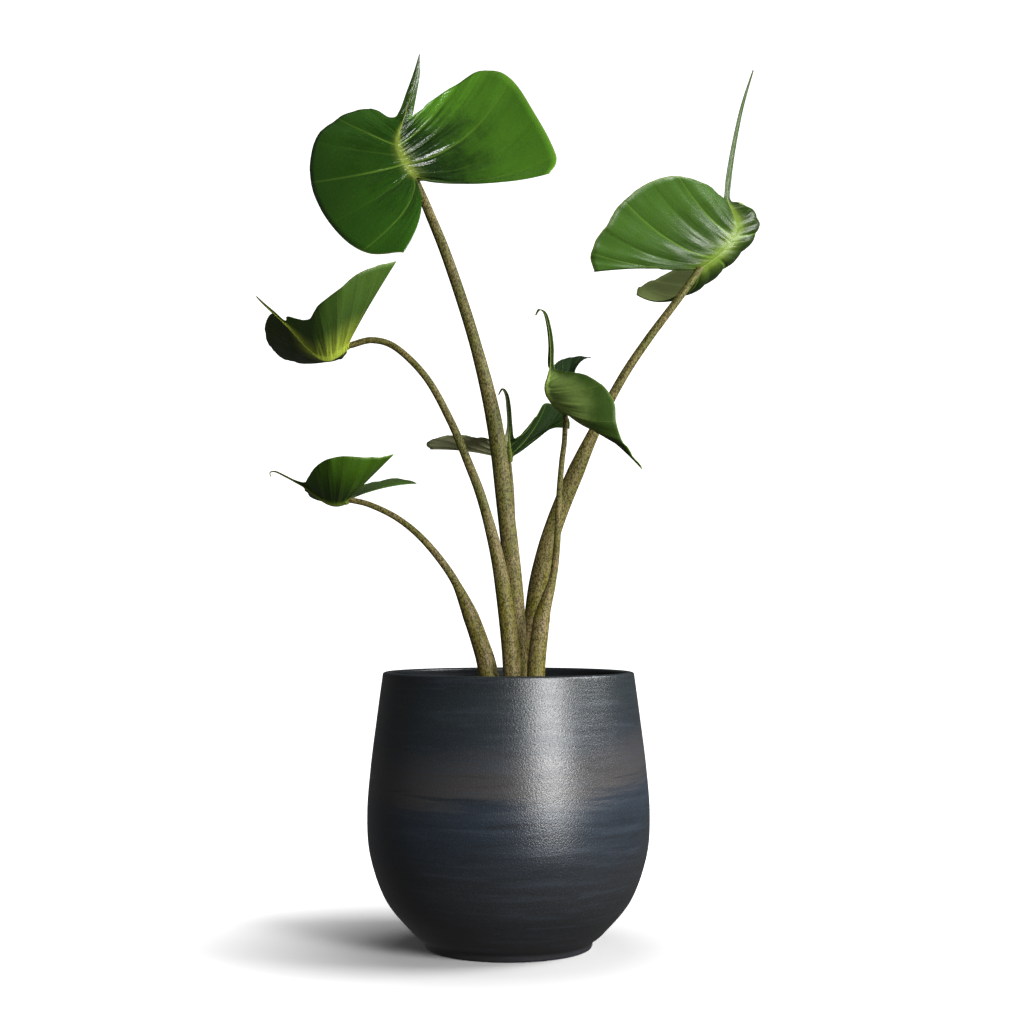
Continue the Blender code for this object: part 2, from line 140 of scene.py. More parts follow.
# Each leaf: its petiole from the soil to the blade, with its radius at both ends, a taper that is higher
# where it thins sooner, the share of it that is sheathed and how much the sheath adds to the radius. Then
# the midrib from the petiole to the tail, the tail, and the margin of each wing from the lobe beside the
# petiole round to the tail. The bows are how far the middle of a rib stands off the straight line, from the
# lobe's edge round to the tail.
LEAVES = {
    "a": {
        "petiole": [(9, 9, 222), (8.5, 9, 273), (6.5, 8, 345), (-4, 6, 445), (-14.5, 2, 525),
                    (-34, -3, 605), (-60, -9, 685), (-80, -11, 735), (-92.6, -14.6, 764.3)],
        "radii": (8.8, 4.0), "taper": 0.9, "sheath": 0.62, "swell": 1.5, "inner": (1.0, 0.2, 0.0),
        "midrib": [(-94, -20, 769), (-105, -15, 787), (-111, -6, 805), (-106, 8, 824)],
        "tail": [(-102, 14, 836), (-97, 19, 854), (-92, 22, 873), (-89, 24, 892)],
        "tail_width": 9.0,
        "left": [(-105, -80, 694), (-146, -66, 695), (-179, -38, 723), (-198, -6, 764), (-194, 12, 805),
                 (-171, 20, 828), (-140, 19, 838), (-117, 13, 829)],
        "left_bows": [(12, -4, 2), (0, -10, 4), (0, -6, 2), (0, 0, 0)],
        "right": [(41, -54, 773), (47.5, -46, 791), (28, -20, 830), (2, 12, 868), (-26, 27, 876),
                  (-54, 28, 861), (-78, 23, 845), (-95, 16, 830)],
        "right_bows": [(2, 8, -6), (2, 12, -6), (0, 8, -4), (0, 2, 0)],
    },
    "b": {
        "petiole": [(20, 32, 222), (21.5, 31, 273), (27.3, 28, 345), (35, 23, 386), (47, 18, 425),
                    (64, 12, 467), (84, 6, 511), (112, 0, 565), (139, -4, 606), (169, -7, 646),
                    (189.8, -2.2, 674.6)],
        "radii": (8.1, 3.6), "taper": 1.3, "sheath": 0.64, "swell": 3.4, "inner": (-1.0, 0.0, 0.3),
        "midrib": [(191, 0, 677), (207, 13, 688), (222, 30, 703), (229, 42, 719), (222, 52, 738)],
        "tail": [(219, 55, 748), (220.5, 57, 768), (225.5, 58, 800), (234, 58, 840), (245, 56, 876)],
        "tail_width": 5.5,
        "left": [(86, -38, 674), (83, -54, 693), (95, -62, 716), (116, -66, 745), (142, -60, 764),
                 (170, -42, 770), (196, -8, 763), (212, 40, 751)],
        "left_bows": [(0, 4, 3), (6, 16, -2), (4, 14, -2), (2, 2, 0)],
        "right": [(128, 58, 651), (130, 74, 658), (143, 84, 665), (162, 92, 674), (189, 94, 691),
                  (212, 88, 713), (228, 74, 731), (231, 58, 742)],
        "right_bows": [(3, 5, -17), (24, 6, -13), (34, 5, 0), (32, 5, 7), (10, 3, 2)],
    },
    "c": {
        "petiole": [(4, -17, 222), (3.5, -17, 273), (-1.5, -16, 325), (-10.5, -14, 385), (-26, -12, 445),
                    (-41, -9, 485), (-58, -6, 525), (-82, -4, 568), (-112, -2, 598), (-136, -1, 606),
                    (-157.9, 0.1, 601)],
        "radii": (8.7, 3.2), "taper": 2.2, "sheath": 0.38, "swell": 1.5, "inner": (0.6, 0.4, 0.6),
        "midrib": [(-162, 1, 601), (-174, 2, 591), (-185, 2, 588), (-199, 1, 598), (-214, 0, 614)],
        "tail": [(-226, 0, 626), (-236, -1, 635), (-245, -1, 643), (-252, -1, 650)],
        "tail_width": 5.5,
        "left": [(-112, -62, 685), (-129, -74, 681), (-150, -80, 673), (-171, -76, 656), (-190, -60, 641),
                 (-198, -40, 628), (-209, -20, 627), (-221, -7, 630)],
        "left_bows": [(-4, -4, -6), (-2, -8, -5), (-1, -5, -3), (0, 0, 0)],
        "right": [(-172, 92, 588), (-190, 104, 584), (-212, 102, 584), (-231, 86, 592), (-242, 64, 608),
                  (-243, 42, 622), (-238, 22, 632), (-232, 8, 631)],
        "right_bows": [(2, 4, -4), (2, 4, -4), (1, 2, -2), (0, 0, 0)],
    },
    "d": {
        "petiole": [(-16, 2, 222), (-20.5, 0, 273), (-29, -3, 305), (-42, -4, 340), (-58, -5, 372),
                    (-84, -6, 405), (-110, -6, 427), (-138, -6, 441), (-158.3, -5, 446)],
        "radii": (8.2, 2.9), "taper": 2.2, "sheath": 0.46, "swell": 3.0, "inner": (0.7, 0.2, 0.6),
        "midrib": [(-163, -5, 446), (-174, -4, 443), (-187, -3, 448), (-203, -2, 460)],
        "tail": [(-214, -2, 466), (-224, -2, 471), (-233, -2, 475), (-239, -2, 474), (-238, -2, 469)],
        "tail_width": 2.4,
        "left": [(-115, -48, 492), (-130, -60, 489), (-146, -66, 489), (-164, -66, 490), (-181, -58, 487),
                 (-193, -42, 479), (-200, -24, 469), (-204, -9, 464)],
        "left_bows": [(0, -4, -1), (-2, -10, -5), (-1, -6, -3), (0, 0, 0)],
        "right": [(-92, 62, 463), (-112, 84, 468), (-140, 98, 463), (-168, 96, 452), (-188, 80, 446),
                  (-198, 56, 450), (-203, 32, 456), (-206, 10, 461)],
        "right_bows": [(0, 2, 4), (0, 4, 2), (0, 2, 0), (0, 0, 0)],
    },
    "e": {
        "petiole": [(0.5, 42, 222), (2, 42, 273), (4, 42, 340), (4, 47, 400), (3, 54, 450),
                    (0.6, 60.5, 481.5)],
        "radii": (4.8, 2.6), "taper": 1.2, "sheath": 0.4, "swell": 1.0, "inner": (0.0, -1.0, 0.0),
        "midrib": [(0, 62, 487), (0, 52, 491), (0, 40, 497), (0, 33, 506)],
        "tail": [(1, 31, 520), (0, 31, 538), (-2, 31, 551), (-6, 31, 557), (-10, 31, 551)],
        "tail_width": 3.4,
        "left": [(61, 80, 517), (60, 92, 527), (50, 96, 537), (37, 84, 543), (27, 64, 530), (16, 46, 514),
                 (6, 36, 508)],
        "left_bows": [(-3, 0, 12), (2, 4, -1), (1, 2, 0), (0, 0, 0)],
        "right": [(-78, 78, 497), (-82, 62, 503), (-70, 42, 509), (-50, 28, 511), (-30, 24, 509),
                  (-15, 27, 507), (-6, 32, 507)],
        "right_bows": [(0, 0, 3), (0, 0, 2), (0, 0, 1), (0, 0, 0)],
    },
    "f": {
        "petiole": [(26, -30, 222), (27.5, -25, 273), (31, -22, 310), (34.5, -20, 333), (44.5, -19, 368),
                    (48.3, -21, 399), (49.5, -22, 422), (51, -24, 455), (53.5, -27, 485), (56, -29, 505),
                    (57, -32.1, 529.8)],
        "radii": (5.2, 2.6), "taper": 1.6, "sheath": 0.4, "swell": 4.2, "inner": (-0.3, 1.0, 0.0),
        "midrib": [(57, -34, 535), (47, -36, 543), (39, -40, 556), (41, -42, 568)],
        "tail": [(43, -42, 580), (43, -41, 600), (41, -40, 618), (37, -40, 633), (31, -40, 637),
                 (27, -40, 631)],
        "tail_width": 4.6,
        "left": [(134, -62, 477), (122, -74, 495), (113, -84, 508), (108, -92, 525), (106, -90, 544),
                 (94, -80, 561), (74, -64, 572), (53, -48, 575)],
        "left_bows": [(0, -6, 6), (-6, -14, -3), (-3, -8, -2), (0, 0, 0)],
        "right": [(83, 38, 589), (72, 40, 590), (62, 30, 589), (54, 10, 587), (49, -12, 584),
                  (46, -28, 580), (45, -37, 578), (45, -41, 577)],
        "right_bows": [(-4, 6, 14), (0, 2, 4), (0, 0, 0), (0, 0, 0)],
    },
}

# Fine relief on the blades, in millimetres.
VEIN_SINK = 0.9
VEIN_SINK_GAIN = 1.5
VEIN_FADE = 0.7
VEIN_START = 8.0
VEIN_WIDTH_ROOT = 1.5
VEIN_WIDTH_EDGE = 0.8
RIB_GAP_ROOT = 5.0
RIB_GAP_EDGE = 26.0
CREASES_TO_A_RIB = 4.0
CREASES_ACROSS = 2.2
CREASE_GAIN = 1.6
CREASE_START = 10.0
CREASE_FADE = 1.5
RIPPLE = 1.2
RIPPLES_TO_A_RIB = 1.7
FADE_RIBS = 0.5

# How far apart the leaves, a leaf's two wings and its creases and ripples are taken from the noise.
LEAF_APART = 17.0
WING_APART = 9.0
RIPPLE_APART = 5

# How much of the quilting each leaf shows, and how deeply its left and right wings are creased.
RELIEF = {"a": (0.55, 0.5, 2.2), "b": (0.8, 1.0, 0.5), "c": (0.3, 0.6, 1.4), "d": (0.2, 0.4, 0.5),
          "e": (0.4, 0.5, 0.5), "f": (0.5, 1.1, 0.8)}

# The crumbs on the potting mix.
CRUMBS = 420
CRUMB_SEED = 7
CRUMB_SMALL = 1.6
CRUMB_LARGE = 4.8
CRUMB_MARGIN = 6.0
CRUMB_STRETCH = (1.5, 1.0, 0.6)
CRUMB_LIFT = 0.2
CRUMB_LUMP = 0.35
CRUMB_LUMP_WAVES = 0.35

# The mix's top, in rings.
MIX_ROUGH = 1.8
MIX_ROUGH_WAVES = 0.09
MIX_RING_STEP = 3.0
MIX_WALL_INSET = 0.4

# The glaze's bands, as shares of the pot's height and colours, and how they slope, drift and fray.
GLAZE_BANDS = [(0.0, "#212121"), (0.3, "#222427"), (0.45, "#1E252D"), (0.56, "#222932"),
               (0.62, "#373534"), (0.7, "#313133"), (0.77, "#1E2429"), (0.9, "#1C2326"), (1.0, "#161A1D")]
BAND_SLOPE = 0.1
BAND_DRIFT = 0.06
BAND_FRAY = 0.05
GLAZE_PALE_STROKE = "#2F363E"
GLAZE_DARK_STROKE = "#1A1C1E"
GLAZE_SPECK = "#5B6068"

# Each leaf's greens above, then below: its left wing near the midrib and at the edge, then its right. The
# greens are partly each leaf's own and partly painted light: darker near the midrib as painted shade, paler
# at the edge as painted light, a wing in shade, such as leaf f's right wing, painted near black, and leaf
# f's lower left wing paler near the midrib as a painted reflection.
GREENS_WITH_PAINTED_LIGHT = {
    "a": ("#1A3606", "#274A0E", "#15290A", "#44701A"),
    "b": ("#263A10", "#314C18", "#1C2C09", "#283A0C"),
    "c": ("#28440F", "#42641C", "#243E0C", "#3A5A18"),
    "d": ("#223F0A", "#3C6416", "#2C400E", "#3C5A16"),
    "e": ("#131F0A", "#1A2C12", "#2A4012", "#486028"),
    "f": ("#30500F", "#4A7020", "#091504", "#0E1F07"),
}
UNDER_GREENS_WITH_PAINTED_LIGHT = {
    "a": ("#3F552A", "#34501F", "#3F552A", "#426324"),
    "b": ("#3A4B1C", "#364C1A", "#828E56", "#6E7A46"),
    "c": ("#3A521E", "#3C561C", "#303C18", "#38481C"),
    "d": ("#2E480C", "#3A5A10", "#3E4828", "#404E26"),
    "e": ("#16240E", "#18280F", "#B0B286", "#B0B286"),
    "f": ("#7A924A", "#324818", "#0C1805", "#0C1A06"),
}

# Each leaf's upper side: its roughness, how strongly it mirrors, and how deep its fine creases are in mm.
GLOSS = {"a": (0.2, 0.45, 4.0), "b": (0.34, 0.18, 1.4), "c": (0.32, 0.35, 1.5), "d": (0.36, 0.35, 1.5),
         "e": (0.42, 0.04, 1.0), "f": (0.3, 0.28, 2.2)}

# The lower side: its range of roughness, its share of the upper side's mirroring, and its creases in mm.
UNDER_ROUGHNESS = (0.42, 0.58)
UNDER_MIRROR = 0.6
UNDER_CREASE = 1.5

# Half the width of a vein's line in millimetres, out to where it has faded, and of its full colour.
VEIN_LINE_EDGE = 0.9
VEIN_LINE_CORE = 0.15

# How far over each wing the pale green of the midrib spreads, how strongly, and that green. On leaf c the
# wide, strong, bright spread is partly the midrib's own yellow green and partly painted light on its shaded
# low point.
MIDRIB_BLUSH_AND_PAINTED_LIGHT = {"a": (0.14, 0.3, "#6F7E2E"), "b": (0.24, 0.4, "#5C7028"), "c": (0.55, 0.85, "#A2B23E"),
         "d": (0.12, 0.3, "#6F7E2E"), "e": (0.1, 0.3, "#6F7E2E"), "f": (0.1, 0.3, "#6F7E2E")}
VEIN_COLOUR = "#5C7A28"
UNDER_VEIN_COLOUR = "#5A6C2C"
TAIL_COLOUR = "#283A14"
EDGE_COLOUR = "#6A7830"

# The stalks' two colours near the soil, their two colours higher up, and their fine grain and flecks.
STALK_LOW = ("#82744F", "#6E682C")
STALK_HIGH = ("#72693E", "#5C5F2E")
STALK_GRAIN = "#4E4820"
STALK_FLECK = "#2C2408"

# The mix where it is damp and where it is dry, and its fibres.
MIX_DAMP = "#1C130D"
MIX_DRY = "#4A3524"
MIX_FIBRE = "#6E5638"

# How fine each pattern is, in waves to the metre.
LEAF_PATCHES = 24.0
LEAF_MOTTLE = 300.0
LEAF_CELLS = 330.0
LEAF_SHEEN = 60.0
STALK_PATCHES = 60.0
STALK_FLECKS = 720.0
STALK_GRAINS = 1500.0
MIX_LUMPS = 190.0
MIX_FIBRES = 500.0
GLAZE_DRIFT = 5.0
GLAZE_STROKES = 12.0
GLAZE_SPECKS = 1300.0
GLAZE_PITS = 620.0

# The leaves' fine creases: how many go across a wing and from one rib to the next.
FOLDS_ACROSS = 2.2
FOLDS_TO_A_RIB = 3.4

# How far each pattern stands off its surface, in millimetres.
CELL_RISE = 0.12
UNDER_CELL_RISE = -0.16
FLECK_RISE = -0.4
LUMP_RISE = 2.0
PIT_RISE = 0.6
STROKE_RISE = 0.6


def linear(code):
    """A colour written as sRGB hex, as the linear numbers that a shader takes."""
    made = []
    for k in (1, 3, 5):
        share = int(code[k:k + 2], 16) / 255
        made.append(share / 12.92 if share <= 0.04045 else ((share + 0.055) / 1.055) ** 2.4)
    return made + [1.0]


def add(tree, kind, inputs=None, **settings):
    """A shader node with its settings, each input set to a value or joined to another node's socket."""
    made = tree.nodes.new(kind)
    for key, value in settings.items():
        setattr(made, key, value)
    for key, value in (inputs or {}).items():
        if isinstance(value, bpy.types.NodeSocket):
            tree.links.new(value, made.inputs[key])
        else:
            made.inputs[key].default_value = value
    return made


def calc(tree, operation, *values):
    """The output of one sum on sockets or numbers."""
    return add(tree, "ShaderNodeMath", dict(enumerate(values)), operation=operation).outputs[0]


def ramp(tree, value, low, high, start=0.0, end=1.0):
    """The value taken smoothly from start to end as it goes from low to high."""
    given = {"Value": value, "From Min": low, "From Max": high, "To Min": start, "To Max": end}
    return add(tree, "ShaderNodeMapRange", given, interpolation_type="SMOOTHSTEP").outputs["Result"]


def mix(tree, share, first, second):
    """The first colour turned into the second by the share."""
    return add(tree, "ShaderNodeMix", {0: share, 6: first, 7: second}, data_type="RGBA").outputs[2]


def grain(tree, where, scale, detail=3.0, roughness=0.55, distortion=0.0):
    """A noise pattern of so many waves to the metre."""
    given = {"Vector": where, "Scale": scale, "Detail": detail, "Roughness": roughness,
             "Distortion": distortion}
    return add(tree, "ShaderNodeTexNoise", given).outputs[0]


def place(tree, scale=(1, 1, 1), turn=(0, 0, 0)):
    """The object's own coordinates, stretched and turned."""
    spot = add(tree, "ShaderNodeTexCoord").outputs["Object"]
    return add(tree, "ShaderNodeMapping", {"Vector": spot, "Scale": scale, "Rotation": turn}).outputs[0]


def surface(name):
    """A new material, its node tree and its Principled shader."""
    made = bpy.data.materials.new(name)
    made.use_nodes = True
    return made, made.node_tree, made.node_tree.nodes["Principled BSDF"]


def raise_by(tree, shader, height, distance, strength=1.0, under=None):
    """The height as a bump, in metres, on the shader's surface."""
    given = {"Height": height, "Distance": distance, "Strength": strength}
    if under:
        given["Normal"] = under
    bump = add(tree, "ShaderNodeBump", given).outputs[0]
    tree.links.new(bump, shader.inputs["Normal"])
    return bump


def vein_pattern(tree, across, along, ribs):
    """How strongly a point shows a side vein: every second rib is bold, and none runs on into the tail."""
    nearest = calc(tree, "FRACT", calc(tree, "ADD", along, 0.5))
    off_rib = calc(tree, "ABSOLUTE", calc(tree, "SUBTRACT", nearest, 0.5))
    gap = calc(tree, "MULTIPLY_ADD", across, RIB_GAP_EDGE - RIB_GAP_ROOT, RIB_GAP_ROOT)
    vein = ramp(tree, calc(tree, "MULTIPLY", off_rib, gap), VEIN_LINE_EDGE, VEIN_LINE_CORE)
    vein = calc(tree, "MULTIPLY", vein, ramp(tree, along, ribs - 0.9, ribs - 1.3))
    half_turn = calc(tree, "FRACT", calc(tree, "MULTIPLY", along, 0.5))
    pair = calc(tree, "ABSOLUTE", calc(tree, "SUBTRACT", half_turn, 0.5))
    vein = calc(tree, "MULTIPLY", vein, ramp(tree, pair, 0.2, 0.35, 0.9, 0.15))
    return calc(tree, "MULTIPLY", vein, ramp(tree, across, 0.95, 0.05, 0.5, 0.85))


def leaf_colour(tree, leaf_name, upper, side, across, along, where):
    """The greens from the midrib out to the edge, darker near it as painted shade and paler at the edge as
    painted light, then the tail, the midrib's pale green (on leaf c partly painted light), the veins and
    the pale edge.
    """
    ribs = len(LEAVES[leaf_name]["left"])
    spread, strength, midrib_green_and_painted_light = MIDRIB_BLUSH_AND_PAINTED_LIGHT[leaf_name]
    greens = [linear(code) for code in (GREENS_WITH_PAINTED_LIGHT if upper else UNDER_GREENS_WITH_PAINTED_LIGHT)[leaf_name]]
    patch = grain(tree, where, LEAF_PATCHES)
    mottle = grain(tree, where, LEAF_MOTTLE, 4.0, 0.65)
    # The mottle and patches are the leaf's own uneven tone; the distance from the midrib added to them is
    # painted shade near the midrib and painted light at the edge.
    shade = calc(tree, "MULTIPLY_ADD", mottle, 0.15, calc(tree, "MULTIPLY", patch, 0.4))
    shade = calc(tree, "MULTIPLY_ADD", across, 0.6, shade)
    mottle_and_painted_light = ramp(tree, shade, 0.4, 0.8)
    left = mix(tree, mottle_and_painted_light, greens[0], greens[1])
    right = mix(tree, mottle_and_painted_light, greens[2], greens[3])
    green = mix(tree, ramp(tree, side, -0.03, 0.03), left, right)
    green = mix(tree, ramp(tree, along, ribs - 1.0, ribs, 0.0, 0.8), green, linear(TAIL_COLOUR))
    # The midrib's pale green spread over the wing; on leaf c it is partly painted light.
    green = mix(tree, ramp(tree, across, spread, 0.0, 0.0, strength), green, linear(midrib_green_and_painted_light))
    vein = calc(tree, "MULTIPLY", vein_pattern(tree, across, along, ribs), 0.75)
    green = mix(tree, vein, green, linear(VEIN_COLOUR if upper else UNDER_VEIN_COLOUR))
    midrib = ramp(tree, across, spread * 0.45, spread * 0.1, 0.0, 0.7)
    green = mix(tree, midrib, green, linear(midrib_green_and_painted_light))
    return mix(tree, ramp(tree, across, 0.985, 1.0, 0.0, 0.4), green, linear(EDGE_COLOUR))


def crease_leaf(tree, shader, upper, crease_depth, side, across, along, where):
    """A net of tiny cells on the skin, and creases that fan out from the midrib."""
    cells = add(tree, "ShaderNodeTexVoronoi", {"Vector": where, "Scale": LEAF_CELLS},
                feature="DISTANCE_TO_EDGE").outputs["Distance"]
    rise = CELL_RISE if upper else UNDER_CELL_RISE
    net = raise_by(tree, shader, ramp(tree, cells, 0.0, 0.16), rise * MM, 0.6)
    folds = add(tree, "ShaderNodeCombineXYZ", {0: calc(tree, "MULTIPLY", side, FOLDS_ACROSS),
                                               1: calc(tree, "MULTIPLY", along, FOLDS_TO_A_RIB)})
    creases = grain(tree, folds.outputs[0], 1.0, 3.0, 0.5, 0.7)
    near_midrib = calc(tree, "MULTIPLY", creases, ramp(tree, across, 0.95, 0.3, 0.12, 1.0))
    raise_by(tree, shader, near_midrib, (crease_depth if upper else UNDER_CREASE) * MM, 0.6, net)


def leaf_material(name, leaf_name, upper):
    """Waxy leaf skin: deep green and glossy above, duller below, paler along its veins and midrib."""
    gloss, mirror, crease_depth = GLOSS[leaf_name]
    made, tree, shader = surface(name)
    spot = add(tree, "ShaderNodeSeparateXYZ",
               {0: add(tree, "ShaderNodeUVMap", uv_map="blade").outputs[0]})
    side = spot.outputs[0]
    along = spot.outputs[1]
    across = calc(tree, "ABSOLUTE", side)
    where = place(tree)
    green = leaf_colour(tree, leaf_name, upper, side, across, along, where)
    tree.links.new(green, shader.inputs["Base Color"])
    smooth, rough = (gloss - 0.06, gloss + 0.1) if upper else UNDER_ROUGHNESS
    uneven = ramp(tree, grain(tree, where, LEAF_SHEEN), 0.3, 0.7, smooth, rough)
    tree.links.new(uneven, shader.inputs["Roughness"])
    shader.inputs["Specular IOR Level"].default_value = mirror if upper else UNDER_MIRROR * mirror
    shader.inputs["Subsurface Weight"].default_value = 0.05
    shader.inputs["Subsurface Radius"].default_value = (0.0012, 0.002, 0.0004)
    crease_leaf(tree, shader, upper, crease_depth, side, across, along, where)
    return made


def stalk_material():
    """Stalk skin: olive, thickly flecked with dark brown, paler and browner near the soil."""
    made, tree, shader = surface("mottled stalk skin")
    height = add(tree, "ShaderNodeSeparateXYZ", {0: place(tree)}).outputs[2]
    patch = grain(tree, place(tree, (1.0, 1.0, 0.5)), STALK_PATCHES, 2.0)
    fleck = grain(tree, place(tree, (1.0, 1.0, 0.6)), STALK_FLECKS, 3.0, 0.7, 0.4)
    fine = grain(tree, place(tree), STALK_GRAINS, 2.0)
    patched = ramp(tree, patch, 0.38, 0.62)
    low = mix(tree, patched, linear(STALK_LOW[0]), linear(STALK_LOW[1]))
    high = mix(tree, patched, linear(STALK_HIGH[0]), linear(STALK_HIGH[1]))
    skin = mix(tree, ramp(tree, height, 0.3, 0.5), low, high)
    skin = mix(tree, ramp(tree, fine, 0.42, 0.62, 0.0, 0.45), skin, linear(STALK_GRAIN))
    skin = mix(tree, ramp(tree, fleck, 0.47, 0.55, 0.0, 0.9), skin, linear(STALK_FLECK))
    tree.links.new(skin, shader.inputs["Base Color"])
    shader.inputs["Roughness"].default_value = 0.5
    shader.inputs["Specular IOR Level"].default_value = 0.16
    shader.inputs["Subsurface Weight"].default_value = 0.05
    shader.inputs["Subsurface Radius"].default_value = (0.002, 0.0016, 0.0008)
    raise_by(tree, shader, fleck, FLECK_RISE * MM, 0.5)
    return made


def mix_material():
    """Damp peat and bark: nearly black brown, dull, with a few paler fibres."""
    made, tree, shader = surface("damp potting mix")
    where = place(tree)
    crumb = grain(tree, where, MIX_LUMPS, 5.0, 0.7)
    brown = mix(tree, ramp(tree, crumb, 0.35, 0.7), linear(MIX_DAMP), linear(MIX_DRY))
    fibre = grain(tree, place(tree, (1.0, 0.2, 1.0), (0.0, 0.0, 0.7)), MIX_FIBRES, 2.0)
    brown = mix(tree, ramp(tree, fibre, 0.66, 0.72, 0.0, 0.6), brown, linear(MIX_FIBRE))
    tree.links.new(brown, shader.inputs["Base Color"])
    shader.inputs["Roughness"].default_value = 0.95
    raise_by(tree, shader, crumb, LUMP_RISE * MM, 0.8)
    return made


def glaze_material():
    """Stoneware glaze: charcoal brushed in soft bands of blue and brown grey, satin and finely grained."""
    made, tree, shader = surface("brushed charcoal glaze")
    spot = place(tree)
    split = add(tree, "ShaderNodeSeparateXYZ", {0: spot})
    drift = grain(tree, place(tree, (1.0, 1.0, 0.5)), GLAZE_DRIFT, 2.0)
    brush = grain(tree, place(tree, (1.0, 1.0, 12.0), (0.0, 0.06, 0.0)), GLAZE_STROKES, 5.0, 0.6, 0.3)
    slope = calc(tree, "MULTIPLY_ADD", split.outputs[0], -BAND_SLOPE, split.outputs[2])
    bent = calc(tree, "MULTIPLY_ADD", calc(tree, "SUBTRACT", drift, 0.5), BAND_DRIFT, slope)
    bent = calc(tree, "MULTIPLY_ADD", calc(tree, "SUBTRACT", brush, 0.5), BAND_FRAY, bent)
    bands = add(tree, "ShaderNodeValToRGB", {0: calc(tree, "DIVIDE", bent, POT_HEIGHT * MM)})
    stops = bands.color_ramp.elements
    stops[0].position = GLAZE_BANDS[0][0]
    stops[0].color = linear(GLAZE_BANDS[0][1])
    stops[1].position = GLAZE_BANDS[-1][0]
    stops[1].color = linear(GLAZE_BANDS[-1][1])
    for position, colour in GLAZE_BANDS[1:-1]:
        stops.new(position).color = linear(colour)
    colour = mix(tree, ramp(tree, brush, 0.5, 0.7, 0.0, 0.4), bands.outputs[0], linear(GLAZE_PALE_STROKE))
    colour = mix(tree, ramp(tree, brush, 0.46, 0.3, 0.0, 0.5), colour, linear(GLAZE_DARK_STROKE))
    speck = grain(tree, spot, GLAZE_SPECKS, 2.0, 0.7)
    colour = mix(tree, ramp(tree, speck, 0.55, 0.75, 0.0, 0.35), colour, linear(GLAZE_SPECK))
    tree.links.new(colour, shader.inputs["Base Color"])
    tree.links.new(ramp(tree, brush, 0.3, 0.7, 0.3, 0.37), shader.inputs["Roughness"])
    shader.inputs["Specular IOR Level"].default_value = 0.6
    pits = grain(tree, spot, GLAZE_PITS, 3.0, 0.6)
    first = raise_by(tree, shader, pits, PIT_RISE * MM, 0.5)
    raise_by(tree, shader, brush, STROKE_RISE * MM, 0.3, first)
    return made


def mesh_of(form, name):
    """The bmesh as a smooth mesh, and the bmesh freed."""
    mesh = bpy.data.meshes.new(name)
    form.to_mesh(mesh)
    form.free()
    mesh.shade_smooth()
    return mesh


def show(name, mesh, materials, node):
    """A finished piece in place of a CAD node."""
    for one in materials:
        mesh.materials.append(one)
    made = bpy.data.objects.new(name, mesh)
    bpy.context.scene.collection.objects.link(made)
    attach(made, "root")
    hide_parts(node)
    return made


def seen(point):
    """The point, in metres, that a viewer in front sees at x, z on the axis's plane, at the depth y."""
    x, y, z = point
    reach = 1 + y / VIEW_DISTANCE
    return Vector((x * reach, y, EYE_HEIGHT + (z - EYE_HEIGHT) * reach)) * MM


def spline(points, t):
    """The place t along a smooth curve through the points, one unit of t from each point to the next."""
    last = len(points) - 1
    first = min(max(int(t), 0), last - 1)
    f = t - first
    a, b, c, d = (points[min(max(k, 0), last)] for k in range(first - 1, first + 3))
    return 0.5 * (2 * b + (c - a) * f + (2 * a - 5 * b + 4 * c - d) * f**2 + (3 * b - a - 3 * c + d) * f**3)


def wing_lines(leaf):
    """The midrib and both margins as matching lists of points, one for each rib and then for the tail."""
    midrib = [seen(p) for p in leaf["midrib"]]
    left = [seen(p) for p in leaf["left"]]
    right = [seen(p) for p in leaf["right"]]
    ribs = len(left)
    roots = [spline(midrib, (i / (ribs - 1)) ** RIB_ROOT_POWER * (len(midrib) - 1)) for i in range(ribs)]
    sideways = (right[-1] - left[-1]).normalized()
    tail = [seen(p) for p in leaf["tail"]]
    for k, point in enumerate(tail, start=1):
        share = (1 - k / len(tail)) ** TAIL_TAPER
        half = (TIP_HALF_WIDTH + (leaf["tail_width"] - TIP_HALF_WIDTH) * share) * MM
        roots.append(point)
        left.append(point - sideways * half)
        right.append(point + sideways * half)
    return roots, left, right


def middles(roots, margin, bows, ribs):
    """The middle point of each rib: bowed, and swept towards the lobe, less so towards the tail."""
    bows = [Vector(bow) * MM for bow in bows]
    made = []
    for i, (root, edge) in enumerate(zip(roots, margin)):
        middle = (root + edge) / 2
        if i < ribs:
            middle += spline(bows, i / (ribs - 1) * (len(bows) - 1))
        if 0 < i < ribs:
            middle += (margin[i - 1] - edge) * SWEEP * (1 - i / ribs)
        made.append(middle)
    return made


def relief(across, along, ribs, seed, look):
    """How far a point of the blade stands off its smooth surface, in millimetres."""
    if along >= ribs - 1:
        return 0.0
    s = abs(across)
    off_rib = abs(along - round(along)) * (RIB_GAP_ROOT + (RIB_GAP_EDGE - RIB_GAP_ROOT) * s)
    width = VEIN_WIDTH_ROOT + (VEIN_WIDTH_EDGE - VEIN_WIDTH_ROOT) * s
    quilted, left_crease, right_crease = look
    swell = QUILT * quilted * math.sin(math.pi * along) ** 2 * 4 * s * (1 - s)
    wave = WAVE * quilted * math.sin(math.tau * along) * s**3
    vein = -VEIN_SINK * min(1.0, VEIN_SINK_GAIN * quilted) * math.exp(-((off_rib / width) ** 2))
    vein *= (1 - VEIN_FADE * s) * min(1.0, s * VEIN_START)
    deepest = left_crease if across < 0 else right_crease
    fold = noise.noise(Vector((along * CREASES_TO_A_RIB, across * CREASES_ACROSS, seed)))
    crease = deepest * fold * min(1.0, s * CREASE_START) * (1 - s) ** CREASE_FADE * CREASE_GAIN
    waves = Vector((along * RIPPLES_TO_A_RIB, WING_APART * (across > 0), seed + RIPPLE_APART))
    ripple = RIPPLE * noise.fractal(waves, 1.0, 2.0, 3) * s**4
    fade = min(1.0, (ribs - 1 - along) / FADE_RIBS)
    return swell + wave + (vein + crease + ripple) * fade


